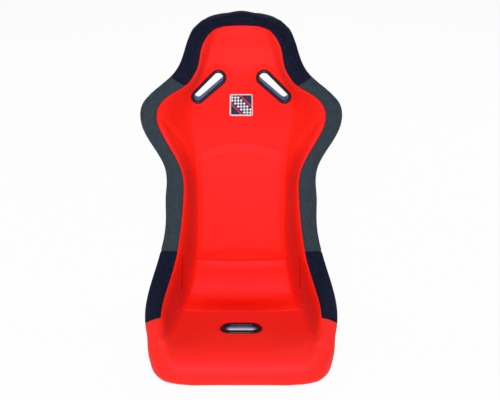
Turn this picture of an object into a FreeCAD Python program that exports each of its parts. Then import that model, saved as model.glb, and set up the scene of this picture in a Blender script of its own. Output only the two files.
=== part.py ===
import FreeCAD, Part
import Sketcher
import math
import os
import re

# Fixed-back racing bucket seat in millimetres: a one-piece moulded glass-fibre tub with glued
# foam pads, a stretched cover in coloured panels, and trimmed slots for a harness.
# X is across the seat (its plane of symmetry is X = 0), the occupant faces -Y, and Z is up.
# The origin is on the floor, under the middle of the seat's bounding box.

Vec = FreeCAD.Vector

doc = FreeCAD.newDocument("bucket_seat")
sheet = doc.addObject("Spreadsheet::Sheet", "Sizes")

# The design table: one row for each cross-section, from under the front lip, over the base, up
# the back and over the top of the head. Widths are half widths from the plane of symmetry.
COLUMNS = (
    "mid_y", "mid_z",                       # middle of the seat surface
    "crest_half", "crest_y", "crest_z",     # highest line of the side bolster
    "edge_half", "edge_y", "edge_z",        # widest line of the upholstery
    "crease_half",                          # where the bolster rises from the middle
    "skirt_half", "skirt_y", "skirt_z",     # where the cover ends on the outside of the shell
    "seam",                                 # seam beside the middle panel, as a share of the row
)
STATIONS = {
    "under": (-268, 4, 196, -259, 5, 218, -238, 7, 150, 229, -226, 10, 0.66),
    "lip": (-290, 6, 204, -282, 8, 237, -247, 14, 152, 235, -224, 18, 0.66),
    "face": (-306, 34, 214, -292, 37, 249, -241, 39, 152, 246, -217, 33, 0.66),
    "roll": (-292, 66, 218, -270, 75, 256, -228, 67, 160, 252, -206, 50, 0.66),
    "front": (-254, 81, 221, -231, 104, 260, -206, 92, 176, 255, -198, 66, 0.66),
    "thigh": (-171, 68, 223, -158, 134, 267, -155, 112, 190, 261, -153, 84, 0.66),
    "middle": (-66, 48, 217, -76, 147, 270, -74, 124, 178, 264, -72, 95, 0.66),
    "rear": (22, 28, 201, -16, 176, 257, -4, 156, 168, 250, 8, 130, 0.66),
    "crease": (84, 40, 187, 14, 216, 240, 34, 200, 152, 236, 48, 190, 0.66),
    "tail": (114, 88, 179, 32, 254, 226, 54, 248, 137, 222, 74, 241, 0.66),
    "lumbar": (127, 150, 172, 46, 300, 218, 70, 296, 127, 212, 97, 290, 0.66),
    "waist": (156, 290, 164, 70, 380, 216, 94, 377, 122, 210, 122, 372, 0.66),
    "rib": (184, 430, 172, 94, 472, 220, 116, 469, 124, 214, 143, 465, 0.66),
    "chest": (205, 530, 223, 132, 558, 274, 152, 555, 132, 268, 178, 551, 0.66),
    "shoulder": (215, 573, 237, 148, 594, 284, 166, 591, 136, 279, 192, 587, 0.66),
    "yoke": (226, 625, 222, 164, 640, 271, 181, 637, 132, 266, 206, 633, 0.65),
    "collar": (235, 668, 168, 176, 681, 218, 193, 679, 118, 213, 218, 675, 0.60),
    "neck": (244, 712, 126, 184, 722, 180, 202, 720, 100, 175, 226, 717, 0.63),
    "head": (257, 775, 111, 198, 780, 156, 216, 777, 82, 152, 242, 776, 0.66),
    "brow": (258, 802, 104, 207, 800, 149, 224, 797, 74, 145, 250, 796, 0.66),
    "crown": (257, 826, 97, 216, 816, 141, 232, 812, 66, 137, 258, 811, 0.52),
    "rim": (252, 850, 88, 231, 837, 132, 241, 824, 56, 130, 263, 820, 0.50),
    "top": (276, 867, 80, 264, 853, 116, 256, 838, 46, 116, 272, 830, 0.50),
    "over": (301, 848, 77, 296, 841, 105, 287, 834, 44, 111, 282, 832, 0.50),
}

# The same sections of the shell's outside: its middle, the half width where the side wall
# starts, and the half width halfway up the wall. Its rim follows the upholstery's edge.
SHELL_COLUMNS = ("shell_y", "shell_z", "wall_low", "wall_high")
SHELL_STATIONS = {
    "lip": (-278, 10, 203, 224),
    "face": (-281, 33, 210, 230),
    "roll": (-268, 45, 214, 231),
    "front": (-234, 45, 227, 231),
    "thigh": (-166, 35, 231, 231),
    "middle": (-64, 18, 231, 231),
    "rear": (10, -1, 231, 231),
    "crease": (128, -1, 231, 231),
    "tail": (159, 24, 229, 229),
    "lumbar": (166, 104, 198, 206),
    "waist": (193, 262, 180, 192),
    "rib": (221, 420, 180, 194),
    "chest": (241, 522, 220, 242),
    "shoulder": (249, 566, 238, 256),
    "yoke": (260, 618, 228, 245),
    "collar": (269, 661, 182, 197),
    "neck": (278, 705, 148, 161),
    "head": (292, 768, 124, 138),
    "brow": (296, 797, 116, 130),
    "crown": (298, 824, 108, 121),
    "rim": (293, 844, 98, 111),
    "top": (281, 858, 70, 90),
}

# Everything else that sets a size.
SIZES = {
    "shell_wall": 4,
    "shell_rim_inset": 6,
    "foam_gap": 1.5,
    "cover_thickness": 1.8,
    "trim_width": 8,
    "trim_thickness": 2.5,
    "sole_width": 360,
    "sole_front": 12,
    "sole_back": 126,
    "sole_corner": 25,
    "sole_thickness": 1.5,
    "flat_half": 229.5,
    "flat_front": -200,
    "flat_back": 130,
    "flat_low": 46,
    "flat_high": 74,
    "bolt_spacing": 290,
    "bolt_middle": -34,
    "bolt_height": 60,
    "tap_radius": 3.4,
    "bush_radius": 7,
    "plate_length": 316,
    "plate_height": 22,
    "plate_thickness": 3,
    "plate_half": 221.5,
    "bezel_sleeve": 2.5,
    "shoulder_wide": 14.5,
    "shoulder_narrow": 11.5,
    "shoulder_lip": 8,
    "shoulder_span": 80,
    "shoulder_sunk": 3,
    "shoulder_proud": 6,
    "shoulder_depth": 24,
    "shoulder_edge": 2,
    "shoulder_half": 94,
    "shoulder_y": 230.4,
    "shoulder_z": 655,
    "shoulder_turn": 43,
    "shoulder_through": 36.7,
    "back_angle": 12,
    "crotch_wide": 22,
    "crotch_narrow": 22,
    "crotch_lip": 8,
    "crotch_span": 54,
    "crotch_sunk": 2,
    "crotch_proud": 8,
    "crotch_depth": 18,
    "crotch_edge": 2,
    "crotch_y": -94,
    "crotch_z": 53.3,
    "crotch_through": 30.1,
    "crotch_angle": 11,
    "rear_sunk": 0,
    "rear_proud": 4,
    "rear_depth": 0,
    "lap_wide": 17,
    "lap_narrow": 17,
    "lap_lip": 6,
    "lap_span": 73,
    "lap_sunk": 10,
    "lap_proud": 0,
    "lap_depth": 89,
    "lap_outside": 239,
    "lap_y": 62,
    "lap_z": 126,
    "lap_angle": 17,
    "slot_clearance": 0.4,
    "patch_width": 65,
    "patch_height": 62,
    "patch_z": 617,
    "patch_y": 223.6,
    "patch_thickness": 1.6,
}


def fill_sheet():
    """Writes every driving dimension into the spreadsheet, each under its own alias."""
    named = dict(SIZES)
    for columns, table in ((COLUMNS, STATIONS), (SHELL_COLUMNS, SHELL_STATIONS)):
        for station, values in table.items():
            for column, value in zip(columns, values):
                named[f"{station}_{column}"] = value
    for row, (alias, value) in enumerate(named.items(), start=1):
        sheet.set(f"A{row}", alias)
        sheet.set(f"B{row}", str(value))
        sheet.setAlias(f"B{row}", alias)
    doc.recompute()


def size(alias):
    """Reads one dimension back from the spreadsheet."""
    return float(sheet.get(alias))


fill_sheet()


# Smooth curves through the table


def smooth_curve(knots, values):
    """A natural cubic spline through values at knots, as a function."""
    count = len(knots)
    step = [b - a for a, b in zip(knots, knots[1:])]
    below = [0.0] * count
    middle = [1.0] * count
    above = [0.0] * count
    right = [0.0] * count
    for i in range(1, count - 1):
        below[i] = step[i - 1]
        middle[i] = 2 * (step[i - 1] + step[i])
        above[i] = step[i]
        rise = (values[i + 1] - values[i]) / step[i]
        right[i] = 6 * (rise - (values[i] - values[i - 1]) / step[i - 1])
    for i in range(1, count):
        share = below[i] / middle[i - 1]
        middle[i] -= share * above[i - 1]
        right[i] -= share * right[i - 1]
    bend = [0.0] * count
    for i in range(count - 2, 0, -1):
        bend[i] = (right[i] - above[i] * bend[i + 1]) / middle[i]

    def curve(at):
        at = min(max(at, knots[0]), knots[-1])
        i = 0
        while i < count - 2 and at > knots[i + 1]:
            i += 1
        a = (knots[i + 1] - at) / step[i]
        b = 1 - a
        bow = ((a**3 - a) * bend[i] + (b**3 - b) * bend[i + 1]) * step[i] ** 2 / 6
        return a * values[i] + b * values[i + 1] + bow

    return curve


def steady_curve(knots, values):
    """A cubic curve through values at knots that never overshoots them, flat at its start."""
    count = len(knots)
    step = [b - a for a, b in zip(knots, knots[1:])]
    rise = [(b - a) / s for a, b, s in zip(values, values[1:], step)]
    slope = [0.0] * count
    slope[-1] = rise[-1]
    for i in range(1, count - 1):
        if rise[i - 1] * rise[i] > 0:
            one = 2 * step[i] + step[i - 1]
            two = step[i] + 2 * step[i - 1]
            slope[i] = (one + two) / (one / rise[i - 1] + two / rise[i])

    def curve(at):
        at = min(max(at, knots[0]), knots[-1])
        i = 0
        while i < count - 2 and at > knots[i + 1]:
            i += 1
        t = (at - knots[i]) / step[i]
        start = (1 + 2 * t) * (1 - t) ** 2 * values[i] + t * (1 - t) ** 2 * step[i] * slope[i]
        end = t * t * (3 - 2 * t) * values[i + 1] + t * t * (t - 1) * step[i] * slope[i + 1]
        return start + end

    return curve


def table(station, *columns):
    return [size(f"{station}_{column}") for column in columns]


def distance_along():
    """How far along the seat each station lies: the mean of the middle's and the edge's path."""
    along = {}
    total = 0.0
    before = None
    for station in STATIONS:
        middle = Vec(0, *table(station, "mid_y", "mid_z"))
        edge = Vec(*table(station, "edge_half", "edge_y", "edge_z"))
        if before:
            total += 0.5 * ((middle - before[0]).Length + (edge - before[1]).Length)
        along[station] = total
        before = (middle, edge)
    return along


ALONG = distance_along()
LINES = {
    name: smooth_curve(list(ALONG.values()), [table(station, name)[0] for station in STATIONS])
    for name in COLUMNS
}
SHELL_ALONG = [ALONG[station] for station in SHELL_STATIONS]
SHELL_LINES = {
    name: smooth_curve(SHELL_ALONG, [table(station, name)[0] for station in SHELL_STATIONS])
    for name in SHELL_COLUMNS
}

# Shares of a section's half width: middle, crease, crest, edge, end of the skirt.
FACE_SHARES = (0.0, 0.38, 0.66, 0.84, 1.0)
EDGE_SHARE = FACE_SHARES[3]
# And of the shell's: middle, end of the flat, start of the wall, halfway up the wall, rim.
SHELL_SHARES = (0.0, 0.36, 0.50, 0.70, 1.0)
CREASE_RISE = 0.05      # share of the bolster's height at the crease, in the seat and back
ARCH_RISE = 0.55        # and at the top of the head, which is one arch
CORNER_WIDTH = 28
WALL_START = 0.16
WALL_MIDDLE = 0.55
RIM_UNDER_SKIRT = 0.25


def between(a, b, share):
    return a + (b - a) * share


def through(shares, points, share):
    """The point at a share of a half section through points, mirrored where share < 0."""
    side = -1 if share < 0 else 1
    x, y, z = (
        steady_curve(shares, [point[axis] for point in points])(abs(share)) for axis in range(3)
    )
    return Vec(side * x, y, z)


def crease_rise(at):
    """How far up the bolster the crease lies: it rises over the head, which ends as an arch."""
    start, end = ALONG["head"], ALONG["top"]
    t = min(max((at - start) / (end - start), 0), 1)
    return between(CREASE_RISE, ARCH_RISE, t * t * (3 - 2 * t))


def face_point(at, share):
    """A point of the seat's surface: at is the distance along, share goes from -1 to 1 across."""
    line = {name: curve(at) for name, curve in LINES.items()}
    middle = Vec(0, line["mid_y"], line["mid_z"])
    crest = Vec(line["crest_half"], line["crest_y"], line["crest_z"])
    edge = Vec(line["edge_half"], line["edge_y"], line["edge_z"])
    skirt = Vec(line["skirt_half"], line["skirt_y"], line["skirt_z"])
    crease = between(middle, crest, crease_rise(at))
    crease.x = line["crease_half"]
    return through(FACE_SHARES, (middle, crease, crest, edge, skirt), share)


def shell_point(at, share):
    """A point of the shell's outside, with share from -1 to 1 across, rim to rim."""
    line = {name: curve(at) for name, curve in {**LINES, **SHELL_LINES}.items()}
    middle = Vec(0, line["shell_y"], max(line["shell_z"], size("sole_thickness")))
    edge = Vec(line["edge_half"], line["edge_y"], line["edge_z"])
    skirt = Vec(line["skirt_half"], line["skirt_y"], line["skirt_z"])
    rim = between(edge, skirt, RIM_UNDER_SKIRT)
    rim.x = line["edge_half"] - size("shell_rim_inset")
    flat = Vec(line["wall_low"] - CORNER_WIDTH, middle.y, middle.z)
    low = between(middle, rim, WALL_START)
    low.x = line["wall_low"]
    high = between(middle, rim, WALL_MIDDLE)
    high.x = line["wall_high"]
    return through(SHELL_SHARES, (middle, flat, low, high, rim), share)


def raised(surface, at, share, height, first, last):
    """The point of a surface moved by height along its normal, which points to the occupant."""
    step = 1.0
    turn = 0.004
    along = surface(min(at + step, last), share) - surface(max(at - step, first), share)
    across = surface(at, min(share + turn, 1)) - surface(at, max(share - turn, -1))
    normal = across.cross(along)
    normal.normalize()
    return surface(at, share) + normal * height


def on_face(at, share, height=0.0):
    ends = list(ALONG.values())
    return raised(face_point, at, share, height, ends[0], ends[-1])


def on_shell(at, share, height=0.0):
    return raised(shell_point, at, share, height, SHELL_ALONG[0], SHELL_ALONG[-1])


# The grid over the seat. The shell, the foam pads and the cover's panels are each a block of its
# cells between two heights above a surface, so neighbours meet face to face

INSIDE_SEAM = (0.0, 0.46, 0.58, 0.80, 1.0)
SEAM_TO_EDGE = (0.5, 1.0)
EDGE_TO_SKIRT = (0.5, 1.0)
CREASE_COLUMN = 2
SEAM_COLUMN = 4
EDGE_COLUMN = 6
SKIRT_COLUMN = 8
LONGEST_ROW_GAP = 55
GLUE_GAP = 0.05
SOLE_BITE = 2       # how far the sole's solid runs into the shell's wall


def grid_rows():
    """Distances along the seat of the grid's rows: every station, and midway in long gaps."""
    rows = dict(ALONG)
    stations = list(ALONG)
    for a, b in zip(stations, stations[1:]):
        if ALONG[b] - ALONG[a] > LONGEST_ROW_GAP:
            rows[f"{a}_to_{b}"] = between(ALONG[a], ALONG[b], 0.5)
    return dict(sorted(rows.items(), key=lambda item: item[1]))


ROWS = grid_rows()
ROW_NAMES = list(ROWS)
SEAM = steady_curve(list(ALONG.values()), [table(station, "seam")[0] for station in STATIONS])


def row(name):
    return ROW_NAMES.index(name)


def column_share(at, column):
    """The share of a grid column at a distance along the seat; columns count from the middle."""
    side = -1 if column < 0 else 1
    column = abs(column)
    if column <= SEAM_COLUMN:
        return side * SEAM(at) * INSIDE_SEAM[column]
    if column <= EDGE_COLUMN:
        share = SEAM_TO_EDGE[column - SEAM_COLUMN - 1]
        return side * between(SEAM(at), EDGE_SHARE, share)
    return side * between(EDGE_SHARE, 1.0, EDGE_TO_SKIRT[column - EDGE_COLUMN - 1])


def over_face(height):
    """Grid corners at a height over the seat's surface; below it where the height is negative."""
    def corner(i, j):
        at = ROWS[ROW_NAMES[i]]
        return on_face(at, column_share(at, j), height)
    return corner


def over_shell(height):
    """Grid corners at a height over the shell's outside, towards the occupant."""
    def corner(i, j):
        at = ROWS[ROW_NAMES[i]]
        return on_shell(at, column_share(at, j) / EDGE_SHARE, height)
    return corner


top_of_cover = over_face(0)
top_of_foam = over_face(-size("cover_thickness"))
outside_of_shell = over_shell(0)
inside_of_shell = over_shell(size("shell_wall"))
foot_of_foam = over_shell(size("shell_wall") + size("foam_gap"))


def cells(first_row, last_row, first_column, last_column):
    """Grid cells between two named rows and two columns."""
    return {
        (i, j)
        for i in range(row(first_row), row(last_row))
        for j in range(first_column, last_column)
    }


def both_sides(first_row, last_row, first_column, last_column):
    right = cells(first_row, last_row, first_column, last_column)
    return right, {(i, -j - 1) for i, j in right}


def solid_from(points, triangles):
    """A closed solid from corner points and triangles of their numbers."""
    skin = Part.Shape()
    skin.makeShapeFromMesh((points, triangles), 0.001)
    solid = Part.makeSolid(skin)
    if solid.Volume < 0:
        solid.reverse()
    return solid


def block(region, low, high):
    """The solid over some grid cells, from the surface low to the surface high. A wall is
    split along the same diagonal whichever side it is made from, so neighbours share it."""
    numbers = {}
    points = []

    def corner(i, j, layer):
        if (i, j, layer) not in numbers:
            numbers[i, j, layer] = len(points)
            points.append(layer(i, j))
        return numbers[i, j, layer]

    triangles = []
    for i, j in sorted(region):
        around = [(i, j), (i, j + 1), (i + 1, j + 1), (i + 1, j)]
        if j < 0:
            around = around[1:] + around[:1]
        a, b, c, d = (corner(*spot, high) for spot in around)
        triangles += [(a, b, c), (a, c, d)]
        a, b, c, d = (corner(*spot, low) for spot in around)
        triangles += [(a, c, b), (a, d, c)]
        sides = (
            ((i - 1, j), (i, j), (i, j + 1)),
            ((i, j + 1), (i, j + 1), (i + 1, j + 1)),
            ((i + 1, j), (i + 1, j + 1), (i + 1, j)),
            ((i, j - 1), (i + 1, j), (i, j)),
        )
        for neighbour, start, end in sides:
            if neighbour not in region:
                a, b = corner(*start, low), corner(*end, low)
                c, d = corner(*end, high), corner(*start, high)
                if (start[0], abs(start[1])) < (end[0], abs(end[1])):
                    triangles += [(a, b, c), (a, c, d)]
                else:
                    triangles += [(a, b, d), (b, c, d)]
    return solid_from(points, triangles)


def make_sole():
    """The shallow rounded pad moulded under the shell, which it stands on."""
    width, front = size("sole_width"), size("sole_front")
    length, thickness = size("sole_back") - front, size("sole_thickness")
    pad = Part.makeBox(width, length, thickness + SOLE_BITE, Vec(-width / 2, front, 0))
    upright = [edge for edge in pad.Edges if edge.BoundBox.ZLength > thickness]
    return pad.makeFillet(size("sole_corner"), upright)


def make_shell():
    """The moulded tub, with a flat pressed into each side for the mounting bolts."""
    tub = block(cells("lip", "top", -EDGE_COLUMN, EDGE_COLUMN), outside_of_shell, inside_of_shell)
    tub = tub.fuse(make_sole())
    front, low = size("flat_front"), size("flat_low")
    length, height = size("flat_back") - front, size("flat_high") - low
    half = size("flat_half")
    reach = 100
    sides = [
        Part.makeBox(reach, length, height, Vec(x, front, low)) for x in (half, -half - reach)
    ]
    return tub.cut(sides)


def make_covers():
    """The cover's panels, each a thin sheet, by name."""
    last = SKIRT_COLUMN
    front = cells("under", "thigh", -last, last)
    front |= cells("thigh", "rear", -SEAM_COLUMN, SEAM_COLUMN)
    lumbar = cells("rear", "lumbar", -SEAM_COLUMN, SEAM_COLUMN)
    back = cells("lumbar", "crown", -SEAM_COLUMN, SEAM_COLUMN)
    right_hip, left_hip = both_sides("thigh", "crease_to_tail", SEAM_COLUMN, last)
    right_side, left_side = both_sides("crease_to_tail", "collar", SEAM_COLUMN, last)
    right_head, left_head = both_sides("collar", "crown", SEAM_COLUMN, last)
    head = right_head | left_head | cells("crown", "over", -last, last)
    panels = {
        "seat_cover": front, "lumbar_cover": lumbar, "back_cover": back,
        "left_hip_cover": left_hip, "right_hip_cover": right_hip,
        "left_side_cover": left_side, "right_side_cover": right_side,
        "head_cover": head,
    }
    return {name: block(region, top_of_foam, top_of_cover) for name, region in panels.items()}


def make_foams():
    """The foam pads between the shell and the cover, by name."""
    crease, edge = CREASE_COLUMN, EDGE_COLUMN
    right_thigh, left_thigh = both_sides("lip", "crease", crease, edge)
    right_side, left_side = both_sides("crease", "collar", crease, edge)
    pads = {
        "seat_foam": cells("lip", "crease", -crease, crease),
        "back_foam": cells("crease", "collar", -crease, crease),
        "head_foam": cells("collar", "top", -edge, edge),
        "left_thigh_foam": left_thigh, "right_thigh_foam": right_thigh,
        "left_side_foam": left_side, "right_side_foam": right_side,
    }
    return {name: block(region, foot_of_foam, top_of_foam) for name, region in pads.items()}


def make_trim():
    """The edge trim: a flat strip all round the end of the cover, just off the shell."""
    last_row = len(ROW_NAMES) - 1
    last = SKIRT_COLUMN
    loop = [(i, -last) for i in range(last_row)]
    loop += [(last_row, j) for j in range(-last, last)]
    loop += [(i, last) for i in range(last_row, 0, -1)]
    loop += [(0, j) for j in range(last, -last, -1)]
    points = []
    for i, j in loop:
        beyond = Vec(0, 0, 0)
        if abs(j) == last:
            beyond += (top_of_cover(i, j) - top_of_cover(i, j - j // last)).normalize()
        if i in (0, last_row):
            before = top_of_cover(1 if i == 0 else i - 1, j)
            beyond += (top_of_cover(i, j) - before).normalize()
        beyond.normalize()
        inner = top_of_cover(i, j)
        out = (inner - top_of_foam(i, j)).normalize()
        outer = inner + out * size("trim_thickness")
        inner += out * GLUE_GAP
        run = beyond * size("trim_width") / 2
        points += [inner - run, outer - run, outer + run, inner + run]
    triangles = []
    count = len(loop)
    for k in range(count):
        here, there = 4 * k, 4 * ((k + 1) % count)
        for a in range(4):
            b = (a + 1) % 4
            triangles += [(here + a, there + a, there + b), (here + a, there + b, here + b)]
    return solid_from(points, triangles)


# Harness slots: where each one lies, and the trimmed opening that fills it


SIDES = {"left": -1, "right": 1}
FAR = 60            # a length past any wall or pad
AIR_FROM = 0.8      # how far a lap slot's liner stands out of the cover
HOLE_PLAY = 0.1
HOLE_REACH = 10
FOAM_PLAY = 1


def placed(centre, along, out):
    """A placement with its X axis along the slot and its Z axis out of the surface."""
    return FreeCAD.Placement(centre, FreeCAD.Rotation(along, out.cross(along), out, "ZXY"))


def tilted(angle):
    turn = math.radians(size(angle))
    return math.sin(turn), math.cos(turn)


def shoulder_places(side):
    """The shoulder slot's place on the front of the back, and on the back of the shell."""
    sine, cosine = tilted("back_angle")
    out, up = Vec(0, -cosine, sine), Vec(0, sine, cosine)
    rise, run = tilted("shoulder_turn")
    along = up * rise - Vec(side * run, 0, 0)
    centre = Vec(side * size("shoulder_half"), size("shoulder_y"), size("shoulder_z"))
    behind = centre - out * size("shoulder_through")
    return placed(centre, along, out), placed(behind, along, -out)


def crotch_places():
    sine, cosine = tilted("crotch_angle")
    out, along = Vec(0, sine, cosine), Vec(1, 0, 0)
    centre = Vec(0, size("crotch_y"), size("crotch_z"))
    below = centre - out * size("crotch_through")
    return placed(centre, along, out), placed(below, along, -out)


def lap_place(side):
    sine, cosine = tilted("lap_angle")
    centre = Vec(side * size("lap_outside"), size("lap_y"), size("lap_z"))
    return placed(centre, Vec(0, sine, cosine), Vec(side, 0, 0))


def slot_hole(slot, place, grow, low, high):
    """The solid of a slot's outline, grown all round, between two heights along its axis."""
    wide, narrow = size(f"{slot}_wide"), size(f"{slot}_narrow")
    half = size(f"{slot}_span") / 2
    sine = (wide - narrow) / (2 * half)
    cosine = math.sqrt(1 - sine**2)
    wide += grow
    narrow += grow
    right, left = half + wide * sine, narrow * sine - half
    upper = Vec(right, wide * cosine, low), Vec(left, narrow * cosine, low)
    lower = Vec(left, -narrow * cosine, low), Vec(right, -wide * cosine, low)
    outline = Part.Wire([
        Part.makeLine(*upper),
        Part.Arc(upper[1], Vec(-half - narrow, 0, low), lower[0]).toShape(),
        Part.makeLine(*lower),
        Part.Arc(lower[1], Vec(half + wide, 0, low), upper[0]).toShape(),
    ])
    hole = Part.Face(outline).extrude(Vec(0, 0, high - low))
    hole.Placement = place
    return hole


def bind(thing, **rules):
    """Ties properties of an object to the spreadsheet."""
    for name, rule in rules.items():
        thing.setExpression(name, re.sub(r"[a-z]\w*", r"Sizes.\g<0>", rule))


def new_sketch(body, plane, height="0"):
    sketch = body.newObject("Sketcher::SketchObject", f"{body.Name}_sketch")
    support = next(item for item in body.Origin.OriginFeatures if item.Role == plane)
    sketch.AttachmentSupport = [(support, "")]
    sketch.MapMode = "FlatFace"
    bind(sketch, **{"AttachmentOffset.Base.z": height})
    return sketch


def bound(sketch, rule, kind, *where):
    """Adds a dimension to a sketch and ties it to the spreadsheet."""
    value = sketch.evalExpression(re.sub(r"[a-z]\w*", r"Sizes.\g<0>", rule))
    number = sketch.addConstraint(Sketcher.Constraint(kind, *where, float(value)))
    bind(sketch, **{f"Constraints[{number}]": rule})


def slot_sketch(body, slot, grow, height):
    """A sketch of the slot's outline: two arcs about the origin and the two lines tangent to them."""
    sketch = new_sketch(body, "XY_Plane", height)
    half, start, end, middle = size(f"{slot}_span") / 2, 1, 2, 3
    wide, narrow = size(f"{slot}_wide"), size(f"{slot}_narrow")
    up, quarter = Vec(0, 0, 1), math.pi / 2
    sketch.addGeometry(Part.ArcOfCircle(Part.Circle(Vec(half, 0, 0), up, wide), -quarter, quarter))
    sketch.addGeometry(
        Part.ArcOfCircle(Part.Circle(Vec(-half, 0, 0), up, narrow), quarter, 3 * quarter)
    )
    sketch.addGeometry(Part.LineSegment(Vec(half, wide, 0), Vec(-half, narrow, 0)))
    sketch.addGeometry(Part.LineSegment(Vec(-half, -narrow, 0), Vec(half, -wide, 0)))
    for a, b in ((0, 2), (2, 1), (1, 3), (3, 0)):
        sketch.addConstraint(Sketcher.Constraint("Tangent", a, end, b, start))
    sketch.addConstraint(Sketcher.Constraint("Symmetric", 0, middle, 1, middle, -1, 1))
    sketch.addConstraint(Sketcher.Constraint("PointOnObject", 0, middle, -1))
    bound(sketch, f"{slot}_span", "Distance", 0, middle, 1, middle)
    bound(sketch, f"{slot}_wide + {grow}", "Radius", 0)
    bound(sketch, f"{slot}_narrow + {grow}", "Radius", 1)
    return sketch


def pad(body, sketch, length, down=False):
    feature = body.newObject("PartDesign::Pad", f"{body.Name}_pad")
    feature.Profile = sketch
    feature.Reversed = down
    bind(feature, Length=length)
    return feature


def slot_bezel(name, slot, place, level, edged=True):
    """A slot's moulded trim: a flange on the surface and a sleeve into the hole behind it."""
    body = doc.addObject("PartDesign::Body", name)
    foot = f"-{level}_sunk"
    flange = slot_sketch(body, slot, f"bezel_sleeve + {slot}_lip", foot)
    pad(body, flange, f"{level}_sunk + {level}_proud")
    if size(f"{level}_depth") > size(f"{level}_sunk"):
        sleeve = slot_sketch(body, slot, "bezel_sleeve", foot)
        pad(body, sleeve, f"{level}_depth - {level}_sunk", down=True)
    opening = body.newObject("PartDesign::Pocket", f"{name}_opening")
    opening.Profile = slot_sketch(body, slot, "0", f"{level}_proud")
    opening.Type = "ThroughAll"
    doc.recompute()
    if edged:
        top, rim = size(f"{level}_proud"), size(f"{slot}_wide") + size("bezel_sleeve")
        before = body.Tip
        edges = [
            f"Edge{number}" for number, edge in enumerate(before.Shape.Edges, start=1)
            if abs(edge.BoundBox.ZMin - top) < 0.01 and edge.BoundBox.YMax > rim
        ]
        chamfer = body.newObject("PartDesign::Chamfer", f"{name}_edge")
        chamfer.Base = (before, edges[:1])
        bind(chamfer, Size=f"{level}_edge")
    body.Placement = place
    return body


def feature(name, shape):
    thing = doc.addObject("Part::Feature", name)
    thing.Shape = shape
    return thing


def gathered(name, parts):
    """One object that holds several like parts, each in its own place."""
    whole = doc.addObject("Part::Compound", name)
    whole.Links = parts
    return whole


def rectangle(sketch, width, height):
    """Adds a rectangle about the sketch's origin, its two sides tied to the spreadsheet."""
    x, y = size(width) / 2, size(height) / 2
    corners = [Vec(-x, -y, 0), Vec(x, -y, 0), Vec(x, y, 0), Vec(-x, y, 0)]
    for a, b in zip(corners, corners[1:] + corners[:1]):
        sketch.addGeometry(Part.LineSegment(a, b))
    for line in range(4):
        sketch.addConstraint(Sketcher.Constraint("Coincident", line, 2, (line + 1) % 4, 1))
        direction = "Vertical" if line % 2 else "Horizontal"
        sketch.addConstraint(Sketcher.Constraint(direction, line))
    sketch.addConstraint(Sketcher.Constraint("Symmetric", 0, 1, 2, 1, -1, 1))
    bound(sketch, width, "DistanceX", 0, 1, 0, 2)
    bound(sketch, height, "DistanceY", 1, 1, 1, 2)


def bolt_circles(sketch, radius):
    """Adds a circle at each of a side's two bolts, which lie evenly about the sketch's origin."""
    for number, side in enumerate((-1, 1)):
        centre = Vec(side * size("bolt_spacing") / 2, 0, 0)
        sketch.addGeometry(Part.Circle(centre, Vec(0, 0, 1), size(radius)))
        sketch.addConstraint(Sketcher.Constraint("PointOnObject", number, 3, -1))
        ends = (number, 3, -1, 1) if side < 0 else (-1, 1, number, 3)
        bound(sketch, "bolt_spacing / 2", "DistanceX", *ends)
        bound(sketch, radius, "Radius", number)


def mount_plate(name, side):
    """The steel strip inside a side wall, with a threaded bush through the wall at each bolt."""
    body = doc.addObject("PartDesign::Body", name)
    strip = new_sketch(body, "YZ_Plane", "plate_half")
    rectangle(strip, "plate_length", "plate_height")
    pad(body, strip, "plate_thickness")
    bushes = new_sketch(body, "YZ_Plane", "plate_half")
    bolt_circles(bushes, "bush_radius")
    pad(body, bushes, "flat_half - plate_half")
    bores = body.newObject("PartDesign::Pocket", f"{name}_bores")
    bores.Profile = new_sketch(body, "YZ_Plane", "flat_half")
    bolt_circles(bores.Profile[0], "tap_radius")
    bores.Type = "ThroughAll"
    half_turn = FreeCAD.Rotation(Vec(0, 0, 1), 0 if side > 0 else 180)
    centre = Vec(0, size("bolt_middle"), size("bolt_height"))
    body.Placement = FreeCAD.Placement(centre, half_turn)
    return body


def chest_patch():
    """The stitched-on patch between the shoulder slots."""
    body = doc.addObject("PartDesign::Body", "chest_patch")
    sketch = new_sketch(body, "XY_Plane")
    rectangle(sketch, "patch_width", "patch_height")
    pad(body, sketch, "patch_thickness")
    sine, cosine = tilted("back_angle")
    centre = Vec(0, size("patch_y"), size("patch_z"))
    body.Placement = placed(centre, Vec(1, 0, 0), Vec(0, -cosine, sine))
    return body


def cut_from(base, tool, name):
    cut = doc.addObject("Part::Cut", name)
    cut.Base, cut.Tool = base, tool
    return cut


def bolt_places():
    """The four mounting bolts, each with its Z axis out of the flat on its side wall."""
    places = []
    for side in SIDES.values():
        for end in (-1, 1):
            y = size("bolt_middle") + end * size("bolt_spacing") / 2
            centre = Vec(side * size("flat_half"), y, size("bolt_height"))
            places.append(placed(centre, Vec(0, 1, 0), Vec(side, 0, 0)))
    return places


def round_holes(places, radius):
    """Cutting cylinders through the shell's wall at each place."""
    holes = []
    for place in places:
        hole = Part.makeCylinder(radius, 2 * HOLE_REACH, Vec(0, 0, -HOLE_REACH))
        hole.Placement = place
        holes.append(hole)
    return holes


def plate_pocket(side):
    """The room left in the foam for a mount plate."""
    length, height = size("plate_length") + 2 * FOAM_PLAY, size("plate_height") + 2 * FOAM_PLAY
    inner = size("plate_half") - FOAM_PLAY
    depth = FAR / 2
    x = inner if side > 0 else -inner - depth
    corner = Vec(x, size("bolt_middle") - length / 2, size("bolt_height") - height / 2)
    return Part.makeBox(depth, length, height, corner)


def without(solid, cuts):
    """A solid less those of the cuts that reach it."""
    near = [cut for cut in cuts if cut.BoundBox.intersect(solid.BoundBox)]
    return solid.cut(near) if near else solid


# The parts, as objects of the document by node name

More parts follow.
